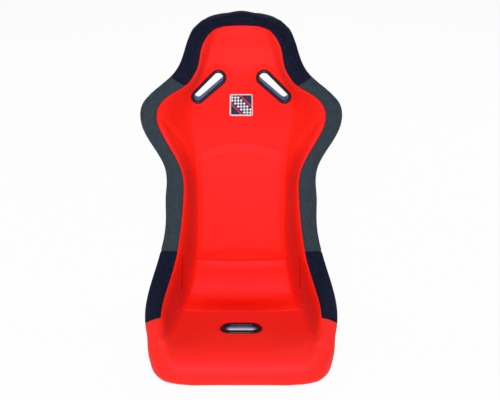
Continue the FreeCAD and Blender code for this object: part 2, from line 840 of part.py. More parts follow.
nodes = {}
front_bezels, rear_bezels, lap_bezels = [], [], []
shell_cuts, foam_cuts, cover_cuts = [], [], []
sleeve, clear = size("bezel_sleeve"), size("slot_clearance")

slots = [(f"{name}_shoulder", "shoulder", *shoulder_places(side)) for name, side in SIDES.items()]
slots.append(("crotch", "crotch", *crotch_places()))
for name, slot, front, rear in slots:
    front_bezels.append(slot_bezel(f"{name}_front_bezel", slot, front, slot))
    rear_bezels.append(slot_bezel(f"{name}_rear_bezel", slot, rear, "rear", edged=False))
    around = sleeve + size(f"{slot}_lip") + clear
    pocket = slot_hole(slot, front, around, -size(f"{slot}_sunk") - clear, FAR)
    sleeve_hole = slot_hole(slot, front, sleeve + clear, -FAR, 0)
    shell_cuts.append(sleeve_hole)
    foam_cuts += [pocket, sleeve_hole]
    cover_cuts.append(pocket)

lap_rows = cells("middle", "waist", -EDGE_COLUMN, EDGE_COLUMN)
air = [
    block(region, over_face(AIR_FROM), over_face(FAR / 2))
    for region in both_sides("rear", "waist", CREASE_COLUMN, EDGE_COLUMN)
]
within = block(lap_rows, over_shell(-GLUE_GAP), over_shell(FAR / 2))
for name, side in SIDES.items():
    place = lap_place(side)
    tube = slot_bezel(f"{name}_lap_tube", "lap", place, "lap", edged=False)
    hole = slot_hole("lap", place, sleeve + clear, -size("lap_depth") - FAR, FAR)
    trimming = feature(f"{name}_lap_trimming", Part.makeCompound([*air, within.cut(hole)]))
    lap_bezels.append(cut_from(tube, trimming, f"{name}_lap_bezel"))
    shell_cuts.append(hole)
    foam_cuts.append(hole)
    cover_cuts.append(slot_hole("lap", place, sleeve + clear, -size("lap_depth") - FAR, -FAR / 3))

for name, bezels in (("front", front_bezels), ("rear", rear_bezels), ("lap", lap_bezels)):
    nodes[f"{name}_bezels"] = gathered(f"{name}_bezels", bezels)

shell_cuts += round_holes(bolt_places(), size("bush_radius") + HOLE_PLAY)
for name, side in SIDES.items():
    nodes[f"{name}_mount_plate"] = mount_plate(f"{name}_mount_plate", side)
    foam_cuts.append(plate_pocket(side))
nodes["chest_patch"] = chest_patch()

nodes["shell"] = feature("shell", make_shell().cut(shell_cuts))
for name, cover in make_covers().items():
    nodes[name] = feature(name, without(cover, cover_cuts))
for name, pad_shape in make_foams().items():
    nodes[name] = feature(name, without(pad_shape, foam_cuts))
nodes["edge_trim"] = feature("edge_trim", make_trim())
doc.recompute()

for item in doc.Objects:
    if "Invalid" in item.State or "Error" in item.State:
        raise RuntimeError(f"{item.Label} did not build: {item.State}")
os.makedirs("parts", exist_ok=True)
for name, node in nodes.items():
    node.Label = name
    if node.Shape.isNull() or not node.Shape.isValid() or not node.Shape.Solids:
        raise RuntimeError(f"{name} has no valid solid")
    node.Shape.exportStep(f"parts/{name}.step")
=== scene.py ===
import math

import bpy
import numpy as np
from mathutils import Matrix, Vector


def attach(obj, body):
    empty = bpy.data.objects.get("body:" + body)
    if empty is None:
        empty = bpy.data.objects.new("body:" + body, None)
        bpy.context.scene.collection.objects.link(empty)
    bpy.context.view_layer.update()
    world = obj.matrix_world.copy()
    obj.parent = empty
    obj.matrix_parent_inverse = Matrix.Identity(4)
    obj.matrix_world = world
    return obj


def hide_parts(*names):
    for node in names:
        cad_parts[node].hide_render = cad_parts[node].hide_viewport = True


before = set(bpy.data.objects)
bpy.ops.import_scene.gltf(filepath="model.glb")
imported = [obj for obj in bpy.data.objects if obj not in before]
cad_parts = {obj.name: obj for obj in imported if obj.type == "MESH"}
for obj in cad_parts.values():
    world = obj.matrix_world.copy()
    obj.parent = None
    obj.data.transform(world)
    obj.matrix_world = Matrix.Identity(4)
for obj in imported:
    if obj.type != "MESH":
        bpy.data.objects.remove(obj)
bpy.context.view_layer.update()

# Fixed-back racing bucket seat: a black gelcoat shell, a stretched velour and cloth cover over
# foam, a rubber edge trim, and moulded rings in the harness slots. Sizes here are in
# millimetres, as on the part's design table, and go into the meshes in metres.

MM = 0.001
scene = bpy.context.scene

# The seat's surfaces, from the same cross-sections as the solid part

STATIONS = {
    # middle y z, crest x y z, edge x y z, crease x, skirt x y z
    "under": (-268, 4, 196, -259, 5, 218, -238, 7, 150, 229, -226, 10),
    "lip": (-290, 6, 204, -282, 8, 237, -247, 14, 152, 235, -224, 18),
    "face": (-306, 34, 214, -292, 37, 249, -241, 39, 152, 246, -217, 33),
    "roll": (-292, 66, 218, -270, 75, 256, -228, 67, 160, 252, -206, 50),
    "front": (-254, 81, 221, -231, 104, 260, -206, 92, 176, 255, -198, 66),
    "thigh": (-171, 68, 223, -158, 134, 267, -155, 112, 190, 261, -153, 84),
    "middle": (-66, 48, 217, -76, 147, 270, -74, 124, 178, 264, -72, 95),
    "rear": (22, 28, 201, -16, 176, 257, -4, 156, 168, 250, 8, 130),
    "crease": (84, 40, 187, 14, 216, 240, 34, 200, 152, 236, 48, 190),
    "tail": (114, 88, 179, 32, 254, 226, 54, 248, 137, 222, 74, 241),
    "lumbar": (127, 150, 172, 46, 300, 218, 70, 296, 127, 212, 97, 290),
    "waist": (156, 290, 164, 70, 380, 216, 94, 377, 122, 210, 122, 372),
    "rib": (184, 430, 172, 94, 472, 220, 116, 469, 124, 214, 143, 465),
    "chest": (205, 530, 223, 132, 558, 274, 152, 555, 132, 268, 178, 551),
    "shoulder": (215, 573, 237, 148, 594, 284, 166, 591, 136, 279, 192, 587),
    "yoke": (226, 625, 222, 164, 640, 271, 181, 637, 132, 266, 206, 633),
    "collar": (235, 668, 168, 176, 681, 218, 193, 679, 118, 213, 218, 675),
    "neck": (244, 712, 126, 184, 722, 180, 202, 720, 100, 175, 226, 717),
    "head": (257, 775, 111, 198, 780, 156, 216, 777, 82, 152, 242, 776),
    "brow": (258, 802, 104, 207, 800, 149, 224, 797, 74, 145, 250, 796),
    "crown": (257, 826, 97, 216, 816, 141, 232, 812, 66, 137, 258, 811),
    "rim": (252, 850, 88, 231, 837, 132, 241, 824, 56, 130, 263, 820),
    "top": (276, 864.8, 80, 264, 853, 116, 256, 838, 46, 116, 272, 830),
    "over": (301, 848, 77, 296, 841, 105, 287, 834, 44, 111, 282, 832),
}
SHELL_STATIONS = {
    # outside middle y z, wall x where it starts and halfway up
    "lip": (-278, 10, 203, 224),
    "face": (-281, 33, 210, 230),
    "roll": (-268, 45, 214, 231),
    "front": (-234, 45, 227, 231),
    "thigh": (-166, 35, 231, 231),
    "middle": (-64, 18, 231, 231),
    "rear": (10, -1, 231, 231),
    "crease": (128, -1, 231, 231),
    "tail": (159, 24, 229, 229),
    "lumbar": (166, 104, 198, 206),
    "waist": (193, 262, 180, 192),
    "rib": (221, 420, 180, 194),
    "chest": (241, 522, 220, 242),
    "shoulder": (249, 566, 238, 256),
    "yoke": (260, 618, 228, 245),
    "collar": (269, 661, 182, 197),
    "neck": (278, 705, 148, 161),
    "head": (292, 768, 124, 138),
    "brow": (296, 797, 116, 130),
    "crown": (298, 824, 108, 121),
    "rim": (293, 844, 98, 111),
    "top": (281, 858, 70, 90),
}
FACE_SHARES = np.array((0.0, 0.38, 0.66, 0.84, 1.0))
SHELL_SHARES = np.array((0.0, 0.36, 0.50, 0.70, 1.0))
CREASE_SHARE, EDGE_SHARE = FACE_SHARES[1], FACE_SHARES[3]
WALL = 4.0
SOLE = 1.5


def natural_spline(knots, values):
    """A natural cubic spline through values (one row per knot), as a function of whole arrays:
    its bending is found from the usual tridiagonal equations, and is nought at both ends."""
    knots, values = np.asarray(knots, float), np.asarray(values, float)
    step = np.diff(knots)[:, None]
    rise = np.diff(values, axis=0) / step
    count = len(knots)
    matrix, right = np.eye(count), np.zeros_like(values)
    inner = np.arange(1, count - 1)
    matrix[inner, inner - 1] = step[:-1, 0]
    matrix[inner, inner] = 2 * (step[:-1, 0] + step[1:, 0])
    matrix[inner, inner + 1] = step[1:, 0]
    right[inner] = 6 * (rise[1:] - rise[:-1])
    bend = np.linalg.solve(matrix, right)

    def curve(at):
        at = np.clip(at, knots[0], knots[-1])
        i = np.clip(np.searchsorted(knots, at, side="left") - 1, 0, count - 2)
        b = ((at - knots[i]) / step[i, 0])[..., None]
        a = 1 - b
        bow = (a**3 - a) * bend[i] + (b**3 - b) * bend[i + 1]
        return a * values[i] + b * values[i + 1] + bow * step[i] ** 2 / 6

    return curve


def across(shares, points, share):
    """A point of each cross-section: the monotone cubic through its five points, level at the
    middle of the seat, read at |share| and mirrored where share is negative."""
    step = np.diff(shares)[:, None]
    rise = np.diff(points, axis=-2) / step
    one, two = 2 * step[1:] + step[:-1], step[1:] + 2 * step[:-1]
    same = rise[..., :-1, :] * rise[..., 1:, :] > 0
    safe = np.where(same, rise[..., :-1, :], 1.0), np.where(same, rise[..., 1:, :], 1.0)
    inner = np.where(same, (one + two) / (one / safe[0] + two / safe[1]), 0.0)
    first = rise[..., :1, :] * np.array((1.0, 0.0, 0.0))
    slope = np.concatenate([first, inner, rise[..., -1:, :]], axis=-2)
    size = np.abs(share)
    i = np.clip(np.searchsorted(shares, size, side="right") - 1, 0, len(shares) - 2)[..., None]

    def pick(values, offset=0):
        return np.take_along_axis(values, (i + offset)[..., None], axis=-2)[..., 0, :]

    gap = step[i[..., 0]]
    t = (size[..., None] - shares[i]) / gap
    start = (1 + 2 * t) * (1 - t) ** 2 * pick(points) + t * (1 - t) ** 2 * gap * pick(slope)
    end = t * t * (3 - 2 * t) * pick(points, 1) + t * t * (t - 1) * gap * pick(slope, 1)
    result = start + end
    result[..., 0] *= np.where(share < 0, -1, 1)
    return result


NAMES = list(STATIONS)
ROWS = np.array([STATIONS[name] for name in NAMES], float)
MIDDLE = np.column_stack([np.zeros(len(ROWS)), ROWS[:, 0], ROWS[:, 1]])
EDGE = ROWS[:, 5:8]
steps = 0.5 * (
    np.linalg.norm(np.diff(MIDDLE, axis=0), axis=1) + np.linalg.norm(np.diff(EDGE, axis=0), axis=1)
)
ALONG = np.concatenate([[0.0], np.cumsum(steps)])
AT = dict(zip(NAMES, ALONG))
LINES = natural_spline(ALONG, ROWS)
SHELL_FIRST, SHELL_LAST = AT["lip"], AT["top"]
SHELL_LINES = natural_spline([AT[n] for n in SHELL_STATIONS], list(SHELL_STATIONS.values()))


def vector(x, y, z):
    return np.stack(np.broadcast_arrays(x, y, z), axis=-1)


def mix(a, b, share):
    return a + (b - a) * share


def smooth(low, high, value):
    """0 below low, 1 above high, and an S-shaped rise between."""
    t = np.clip((value - low) / (high - low), 0, 1)
    return t * t * (3 - 2 * t)


def hump(centre, width, value):
    """A bell curve: 1 at the centre, a third of it one width away."""
    return np.exp(-((value - centre) / width) ** 2)


def face(at, share):
    """The upholstery's surface. at is the distance along the seat, from under the front lip to
    behind the head; share goes from -1 to 1 across. Each section runs from its middle through
    the crease, the bolster's crest and the widest edge to the end of the skirt. The crease
    takes an S-shaped rise over the head, whose top is one arch."""
    line = LINES(at)
    middle = vector(0.0, line[..., 0], line[..., 1])
    crest, edge, skirt = line[..., 2:5], line[..., 5:8], line[..., 9:12]
    rise = mix(0.05, 0.5, smooth(AT["head"], AT["top"], at))
    crease = mix(middle, crest, rise[..., None])
    crease[..., 0] = line[..., 8]
    return across(FACE_SHARES, np.stack([middle, crease, crest, edge, skirt], axis=-2), share)


def shell(at, share):
    """The shell's outside: a flat middle, a rounded corner, and a wall that flares up to the
    rim, which lies a little inside the upholstery's edge."""
    line, own = LINES(at), SHELL_LINES(at)
    middle = vector(0.0, own[..., 0], np.maximum(own[..., 1], SOLE))
    edge, skirt = line[..., 5:8], line[..., 9:12]
    rim = mix(edge, skirt, 0.25)
    rim[..., 0] = edge[..., 0] - 6
    flat = middle.copy()
    flat[..., 0] = own[..., 2] - 28
    low, high = mix(middle, rim, 0.16), mix(middle, rim, 0.55)
    low[..., 0], high[..., 0] = own[..., 2], own[..., 3]
    return across(SHELL_SHARES, np.stack([middle, flat, low, high, rim], axis=-2), share)


def corner_reach(x, y, half_x, half_y, radius):
    """How far points lie past the straight parts of a rectangle with round corners: along each
    axis, and the length of both."""
    over_x = np.maximum(np.abs(x) - half_x + radius, 0)
    over_y = np.maximum(np.abs(y) - half_y + radius, 0)
    return over_x, over_y, np.hypot(over_x, over_y)


def turns(count):
    """Angles at even steps round a circle."""
    return np.arange(count) * math.tau / count


def unit(vectors):
    return vectors / np.maximum(np.linalg.norm(vectors, axis=-1, keepdims=True), 1e-9)


def normals(surface, at, share, first, last):
    """Unit normals towards the occupant: the cross product of steps across and along."""
    along = surface(np.minimum(at + 1, last), share) - surface(np.maximum(at - 1, first), share)
    over = surface(at, np.minimum(share + 0.004, 1)) - surface(at, np.maximum(share - 0.004, -1))
    return unit(np.cross(over, along))


# The cover's grid. Its seams lie on lines of the grid: rows run along the seat at an even step,
# finer up to the head's arch, and columns lie inside the red panel, beside it up to the widest
# edge, and on the skirt. The seams across the velour end short of its sides, in columns, and the
# UV maps give the seat a width in millimetres.

SEAMS = {
    "under": AT["under"],
    "thigh": AT["thigh"],
    "rear": AT["rear"],
    "hip": (AT["crease"] + AT["tail"]) / 2,
    "lumbar": AT["lumbar"] - 11,
    "collar": AT["collar"],
    "brow": AT["brow"],
    "arch": AT["crown"] + 2,
    "over": AT["over"],
}
STEP = 5.0
FINE_STEP = {"arch": 1.0}
INSIDE, BESIDE, SKIRT = 44, 18, 8
CROSS_SEAM = 0.62
UV_WIDTH = 300


def seam_share(line):
    """Where the seam beside the red panel lies: level, drawn in at the neck as a bell curve, and
    closed over the head as a superellipse, up to the row where the panel ends."""
    level = 0.66 - 0.068 * hump(AT["collar"] + 4, 34, line)
    start, end = AT["head"], SEAMS["arch"]
    t = np.clip((line - start) / (end - start), 0, 0.998)
    return level * (1 - t**3) ** (1 / 6)


def row_bend(line, share):
    """How far a row of the grid runs ahead away from the middle: over the head's top it follows
    the arch as a parabola, and at the collar the seam climbs towards the outer edge."""
    arch = 16 * share**2 * smooth(1130, 1190, line) * smooth(1265, 1215, line)
    climb = 27 * smooth(0.59, 0.84, np.abs(share)) * hump(SEAMS["collar"], 46, line)
    return arch + climb


def grid_lines():
    """The rows' distances along the seat, evenly spaced from seam to seam, and their numbers."""
    names, places = list(SEAMS), list(SEAMS.values())
    parts = []
    for name, low, high in zip(names[1:], places, places[1:]):
        count = math.ceil((high - low) / FINE_STEP.get(name, STEP))
        parts.append(np.linspace(low, high, count, endpoint=False))
    numbers = np.cumsum([0, *(len(part) for part in parts)]).tolist()
    return np.concatenate([*parts, places[-1:]]), dict(zip(names, numbers))


lines, row_of = grid_lines()
half = np.concatenate([
    np.linspace(0, 1, INSIDE + 1), np.linspace(1, 2, BESIDE + 1)[1:],
    np.linspace(2, 3, SKIRT + 1)[1:],
])
column = np.concatenate([-half[:0:-1], half])
LEFT_SEAM, RIGHT_SEAM = SKIRT + BESIDE, SKIRT + BESIDE + 2 * INSIDE
grid_line, grid_column = np.meshgrid(lines, column, indexing="ij")
seam = seam_share(grid_line)
size = np.abs(grid_column)
grid_share = np.sign(grid_column) * np.where(
    size <= 1, seam * size,
    np.where(size <= 2, mix(seam, EDGE_SHARE, size - 1), mix(EDGE_SHARE, 1.0, size - 2)),
)
grid_at = np.clip(grid_line + row_bend(grid_line, grid_share), ALONG[0], ALONG[-1])
ground = face(grid_at, grid_share)
outward = normals(face, grid_at, grid_share, ALONG[0], ALONG[-1])


def relief(at, share):
    """Height of the padding over the plain surface: a raised pad down the back under a parabola
    of an arch, a pleat along each side of the seat and the pad, a hollow where the base meets
    the back and a shallow dish behind the crotch slot."""
    side = np.abs(share)
    arch = AT["rib"] + 56 - 37 * (side / CREASE_SHARE) ** 2
    pad = smooth(0.43, 0.33, side) * smooth(arch + 10, arch - 10, at)
    pad = pad * smooth(SEAMS["lumbar"] - 4, SEAMS["lumbar"] + 20, at)
    fold = hump(arch + 11, 7, at) * smooth(0.46, 0.36, side)
    pleat = hump(0.46, 0.09, side) * smooth(AT["front"], AT["thigh"] + 30, at)
    pleat = pleat * smooth(AT["rib"] + 70, AT["rib"] - 50, at)
    hollow = hump(AT["rear"] + 42, 34, at) * hump(0, 0.27, share)
    dish = hump(AT["middle"] + 58, 24, at) * hump(0, 0.2, share)
    return 5.0 * pad - 2.0 * fold - 2.5 * pleat - 5.0 * hollow - 2.5 * dish


def nap(at, share):
    """Painted light and shade on the velour, for its colour and shine: 1 on most of it, painted
    shade down to 0 on the bolsters' inner slopes and in the hollow at the foot of the back, down
    by half over the chest, and a painted highlight above 1 on the front roll."""
    side = np.abs(share)
    slope = hump(0.53, 0.13, side) * smooth(AT["front"] + 20, AT["thigh"] + 30, at)
    slope = slope * smooth(AT["rib"] + 90, AT["rib"] - 40, at)
    hollow = hump(AT["rear"] + 36, 46, at) * hump(0, 0.42, share)
    chest = hump(AT["yoke"] - 10, 120, at)
    shade = np.clip(0.95 * slope + 0.85 * hollow + 0.55 * chest, 0, 1)
    return 1 - shade + 0.4 * hump(AT["front"] - 5, 42, at)


swollen = ground + outward * relief(grid_at, grid_share)[..., None]
PADDED, CLOTH = 11.0, 1.8
thickness = mix(PADDED, CLOTH, smooth(0.68, 0.86, np.abs(grid_share)))

# Meshes from grids


def add_uv(mesh, name, values):
    """Writes a UV map from two values for each point."""
    layer = mesh.uv_layers.new(name=name)
    numbers = np.zeros(len(mesh.loops), np.int32)
    mesh.loops.foreach_get("vertex_index", numbers)
    layer.data.foreach_set("uv", values[numbers].astype(np.float32).ravel())


def mesh_object(name, points, faces, uv=None, shade=True):
    """An object at the origin from points in millimetres and lists of corner numbers."""
    mesh = bpy.data.meshes.new(name)
    corners = faces.tolist() if isinstance(faces, np.ndarray) else faces
    mesh.from_pydata((np.asarray(points) * MM).tolist(), [], corners)
    if uv is not None:
        add_uv(mesh, "UVMap", uv * MM)
    mesh.polygons.foreach_set("use_smooth", np.full(len(mesh.polygons), shade))
    mesh.update()
    thing = bpy.data.objects.new(name, mesh)
    scene.collection.objects.link(thing)
    return thing


def quads(rows, columns):
    """Corner numbers of a grid's cells, as rows by columns by 4."""
    number = np.arange(rows * columns).reshape(rows, columns)
    return np.stack([number[:-1, :-1], number[:-1, 1:], number[1:, 1:], number[1:, :-1]], axis=-1)


def closed_block(name, top, bottom, cells, uv):
    """A closed mesh over some cells of a grid: the cells between the surfaces top and bottom
    (both rows by columns by 3), with a wall wherever a cell has no neighbour."""
    rows, columns = top.shape[:2]
    corners = quads(rows, columns)
    a, b, c, d = np.moveaxis(corners, -1, 0)
    under = rows * columns
    walls = []
    ring = np.pad(cells, 1)
    sides = (
        (ring[:-2, 1:-1], a, b), (ring[1:-1, 2:], b, c),
        (ring[2:, 1:-1], c, d), (ring[1:-1, :-2], d, a),
    )
    for neighbour, start, end in sides:
        bare = cells & ~neighbour
        walls.append(np.stack([start + under, end + under, end, start], axis=-1)[bare])
    lower = corners[cells][:, ::-1] + under
    faces = np.concatenate([corners[cells], lower, *walls])
    points = np.concatenate([top.reshape(-1, 3), bottom.reshape(-1, 3)])
    uvs = np.concatenate([uv.reshape(-1, 2), uv.reshape(-1, 2)])
    used, faces = np.unique(faces, return_inverse=True)
    return mesh_object(name, points[used], faces.reshape(-1, 4), uvs[used])


def ring_quads(rings, around, closed=False):
    """Corner numbers of the faces between rings, where wanted from the last to the first too."""
    i, j = np.meshgrid(np.arange(rings - (not closed)), np.arange(around), indexing="ij")
    here, there, side = i * around, (i + 1) % rings * around, (j + 1) % around
    return np.stack([here + j, here + side, there + side, there + j], axis=-1).reshape(-1, 4)


def capped_rings(name, points, shade=True):
    """Closed pieces (pieces by rings by points by 3), each a stack of rings with two ends."""
    count, rings, around = points.shape[:3]
    first = np.arange(count)[:, None, None] * rings * around
    end = np.arange(around) + first[..., 0]
    faces = (ring_quads(rings, around) + first).reshape(-1, 4).tolist()
    faces += end[:, ::-1].tolist() + (end + (rings - 1) * around).tolist()
    return mesh_object(name, points.reshape(-1, 3), faces, shade=shade)


# Where the harness slots lie

SHOULDER = dict(wide=14.5, narrow=11.5, span=80)
CROTCH = dict(wide=22, narrow=22, span=54)
LAP = dict(wide=17, narrow=17, span=73)
SLEEVE, LIP = 2.5, 8.0
BEHIND_SHOULDER, BELOW_CROTCH = 36.7, 30.1


def placing(centre, along, out):
    """A 4 by 4 matrix (as rows) whose X axis lies along the slot and whose Z axis points out."""
    along, out = np.array(along, float), np.array(out, float)
    made = np.eye(4)
    made[:3, 0], made[:3, 1], made[:3, 2], made[:3, 3] = along, np.cross(out, along), out, centre
    return made


def put(points, place):
    return points @ place[:3, :3].T + place[:3, 3]


def shoulder_place(side, depth=0.0):
    """A shoulder slot in the cover, or at a depth the same slot seen from behind."""
    lean, turn = math.radians(12), math.radians(43)
    out = np.array((0, -math.cos(lean), math.sin(lean)))
    up = np.array((0, math.sin(lean), math.cos(lean)))
    along = up * math.sin(turn) - np.array((side * math.cos(turn), 0, 0))
    centre = np.array((side * 94, 230.4, 655)) - out * depth
    return placing(centre, along, -out if depth else out)


def crotch_place(depth=0.0):
    lean = math.radians(11)
    out = np.array((0, math.sin(lean), math.cos(lean)))
    return placing(np.array((0, -94, 53.3)) - out * depth, (1, 0, 0), -out if depth else out)


def lap_place(side):
    lean = math.radians(17)
    return placing((side * 239, 62, 126), (0, math.sin(lean), math.cos(lean)), (side, 0, 0))


def slot_gap(points, place, wide, narrow, span):
    """Distance from points to a slot's outline, seen along its axis: the distance to the line
    between its two end centres, less a radius that grows evenly along it."""
    local = (points - place[:3, 3]) @ place[:3, :3]
    on_line = np.clip(local[..., 0], -span / 2, span / 2)
    away = np.hypot(local[..., 0] - on_line, local[..., 1])
    return away - mix(narrow, wide, on_line / span + 0.5)


def slots(behind=0.0, below=0.0):
    """The three slots with a flange, or their mirror images at a depth."""
    shoulders = [(shoulder_place(side, behind), SHOULDER) for side in (-1, 1)]
    return [*shoulders, (crotch_place(below), CROTCH)]


# How far the cover is held down round each bezel's flange: 0 at the flange, 1 away from it
FRONT_REACH = 150
held = np.ones(grid_line.shape)
for place, slot in slots():
    gap = slot_gap(ground, place, **slot) - SLEEVE - LIP
    near = np.linalg.norm(ground - place[:3, 3], axis=-1) < FRONT_REACH
    held = np.where(near, np.minimum(held, smooth(-2, 20, gap)), held)

# The sewn panels


def cell_range(first, last, low, high):
    """Cells between two rows and two column positions (0 middle, 1 seam, 2 edge, 3 end)."""
    picked = np.zeros((len(lines) - 1, len(column) - 1), bool)
    centre = (column[:-1] + column[1:]) / 2
    picked[row_of[first]:row_of[last]] = (centre > low) & (centre < high)
    return picked


def both(first, last, low, high):
    return cell_range(first, last, low, high), cell_range(first, last, -high, -low)


def sewn_lines(cells):
    """Points of some cells on a seam, and all their points: a point on the border has fewer than
    four of the cells round it. The seams across the velour end where the bolsters rise."""
    ring = np.pad(cells, 1).astype(int)
    count = ring[:-1, :-1] + ring[1:, :-1] + ring[:-1, 1:] + ring[1:, 1:]
    over = np.isin(grid_line, [SEAMS["rear"], SEAMS["lumbar"]])
    over &= np.abs(grid_column) < CROSS_SEAM
    return (count > 0) & ((count < 4) | over), count > 0


def seam_distance(cells):
    """Distance from every grid point of some cells to their nearest seam."""
    sewn, inside = sewn_lines(cells)
    line, spots = ground[sewn], ground[inside]
    distance = np.zeros(grid_line.shape)
    distance[inside] = np.concatenate([
        np.sqrt(((part[:, None] - line[None]) ** 2).sum(-1).min(1))
        for part in np.array_split(spots, 1 + len(spots) // 400)
    ])
    return distance


seat = cell_range("under", "thigh", -3, 3) | cell_range("thigh", "rear", -1, 1)
lumbar = cell_range("rear", "lumbar", -1, 1)
back = cell_range("lumbar", "arch", -1, 1)
sheets = {"velour": seat | lumbar | back}
panels = {
    # cells, sheet, finish, solids it stands for
    "seat_panel": (
        seat, "velour", "velour",
        ["seat_cover", "seat_foam", "left_thigh_foam", "right_thigh_foam"],
    ),
    "lumbar_panel": (lumbar, "velour", "velour", ["lumbar_cover"]),
    "back_panel": (back, "velour", "velour", ["back_cover", "back_foam"]),
}
for part, first, last, finish, kinds in (
    ("hip", "thigh", "hip", "navy", ["cover"]),
    ("side", "hip", "collar", "grey", ["cover", "foam"]),
):
    for side, cells in zip(("right", "left"), both(first, last, 1, 3)):
        name = f"{side}_{part}"
        sheets[name] = cells
        panels[f"{name}_panel"] = (cells, name, finish, [f"{name}_{kind}" for kind in kinds])
sheets["head"] = cell_range("arch", "over", -3, 3)
for part in both("collar", "arch", 1, 3):
    sheets["head"] |= part
panels["head_panel"] = (sheets["head"], "head", "navy", ["head_cover", "head_foam"])
CAP, FADE, FRAMES = 3.5, 24, 20
ROLL_DEPTH, ROLL_WIDTH, TUCK = 2.2, 8.0, 1.5
FABRIC = dict(
    quality=5, mass=0.3, tension_stiffness=15, compression_stiffness=15, shear_stiffness=8,
    bending_stiffness=4, use_pressure=True, uniform_pressure_force=4,
)


def rolled(distance):
    """A sheet's face: it follows the padding, rolls down into its seams as a quarter circle,
    and is drawn down under the bezels' flanges."""
    near = np.clip(distance / ROLL_WIDTH, 0, 1)
    roll = ROLL_DEPTH * (1 - np.sqrt(1 - (1 - near) ** 2))
    skirt = smooth(0.86, 0.93, np.abs(grid_share))
    return swollen - outward * (roll * (1 - skirt) + TUCK * (1 - held))[..., None]


def swell(faces):
    """Lets the sheets swell between their seams: cloth pinned along the seams, with pressure
    behind it and no gravity. Returns each sheet's movement, of CAP at most."""
    cloths = {}
    for name, top in faces.items():
        sewn, inside = sewn_lines(sheets[name])
        used, corners = np.unique(quads(*grid_line.shape)[sheets[name]], return_inverse=True)
        thing = mesh_object(f"{name}_cloth", top.reshape(-1, 3)[used], corners.reshape(-1, 4))
        group = thing.vertex_groups.new(name="seam")
        group.add(np.flatnonzero(sewn.ravel()[used]).tolist(), 1.0, "REPLACE")
        modifier = thing.modifiers.new("cloth", "CLOTH")
        for key, value in FABRIC.items():
            setattr(modifier.settings, key, value)
        modifier.settings.vertex_group_mass = "seam"
        modifier.settings.effector_weights.gravity = 0
        modifier.point_cache.frame_start = 1
        modifier.point_cache.frame_end = FRAMES
        cloths[name] = (thing, used)
    for number in range(1, FRAMES + 1):
        scene.frame_set(number)
    moves = {}
    graph = bpy.context.evaluated_depsgraph_get()
    for name, (thing, used) in cloths.items():
        before, after = np.zeros(3 * len(used)), np.zeros(3 * len(used))
        thing.data.vertices.foreach_get("co", before)
        thing.evaluated_get(graph).data.vertices.foreach_get("co", after)
        move = ((after - before) / MM).reshape(-1, 3)
        length = np.linalg.norm(move, axis=1, keepdims=True)
        whole = np.zeros((grid_line.size, 3))
        whole[used] = move * np.minimum(1, CAP / np.maximum(length, 1e-6))
        moves[name] = whole.reshape(*grid_line.shape, 3)
    for thing, used in cloths.values():
        bpy.data.objects.remove(thing)
    scene.frame_set(1)
    return moves


distance = {name: seam_distance(cells) for name, cells in sheets.items()}
faces = {name: rolled(values) for name, values in distance.items()}
for name, move in swell(faces).items():
    free = held * smooth(0.98, 0.86, np.abs(grid_share)) * smooth(0, FADE, distance[name])
    faces[name] = faces[name] + move * free[..., None]

# Materials


def linear(code):
    """A colour written as an sRGB hex value, turned to the linear values that shaders use."""
    values = np.array([int(code[i:i + 2], 16) for i in (1, 3, 5)]) / 255
    values = np.where(values <= 0.04045, values / 12.92, ((values + 0.055) / 1.055) ** 2.4)
    return (*values.tolist(), 1.0)


def link(output, socket):
    output.id_data.links.new(output, socket)


def node(material, kind, links=None, **settings):
    """Adds a node: settings are its properties or the values of its inputs, and links joins
    inputs, by name or number, to outputs of other nodes, or sets them to plain values."""
    made = material.node_tree.nodes.new("ShaderNode" + kind)
    for key, value in settings.items():
        if hasattr(made, key):
            setattr(made, key, value)
        else:
            names = {item.name.lower(): item for item in made.inputs}
            names[key.replace("_", " ").lower()].default_value = value
    for key, output in (links or {}).items():
        if isinstance(output, bpy.types.NodeSocket):
            link(output, made.inputs[key])
        else:
            made.inputs[key].default_value = output
    return made


def calculate(material, operation, *values):
    """A number worked out from outputs of other nodes and plain values."""
    made = node(material, "Math", dict(enumerate(values)), operation=operation)
    return made.outputs["Value"]


def new_material(name, **settings):
    """A material with one Principled BSDF, which is returned with it."""
    material = bpy.data.materials.new(name)
    material.use_nodes = True
    shader = material.node_tree.nodes["Principled BSDF"]
    for key, value in settings.items():
        shader.inputs[key.replace("_", " ")].default_value = value
    return material, shader


def noise(material, scale, detail):
    """Soft noise fixed to the object."""
    place = node(material, "TexCoord").outputs["Object"]
    made = node(material, "TexNoise", {"Vector": place}, Scale=scale, Detail=detail)
    return made.outputs["Fac"]


def ramp(material, shader, factor, low, high, start=0.35, end=0.65):
    """Colours a shader between two hex colours, by a factor between two limits."""
    made = node(material, "ValToRGB", {"Fac": factor})
    for element, position, code in zip(made.color_ramp.elements, (start, end), (low, high)):
        element.position, element.color = position, linear(code)
    link(made.outputs["Color"], shader.inputs["Base Color"])


def bump(material, shader, height, distance, strength):
    made = node(material, "Bump", {"Height": height}, Distance=distance, Strength=strength)
    link(made.outputs["Normal"], shader.inputs["Normal"])


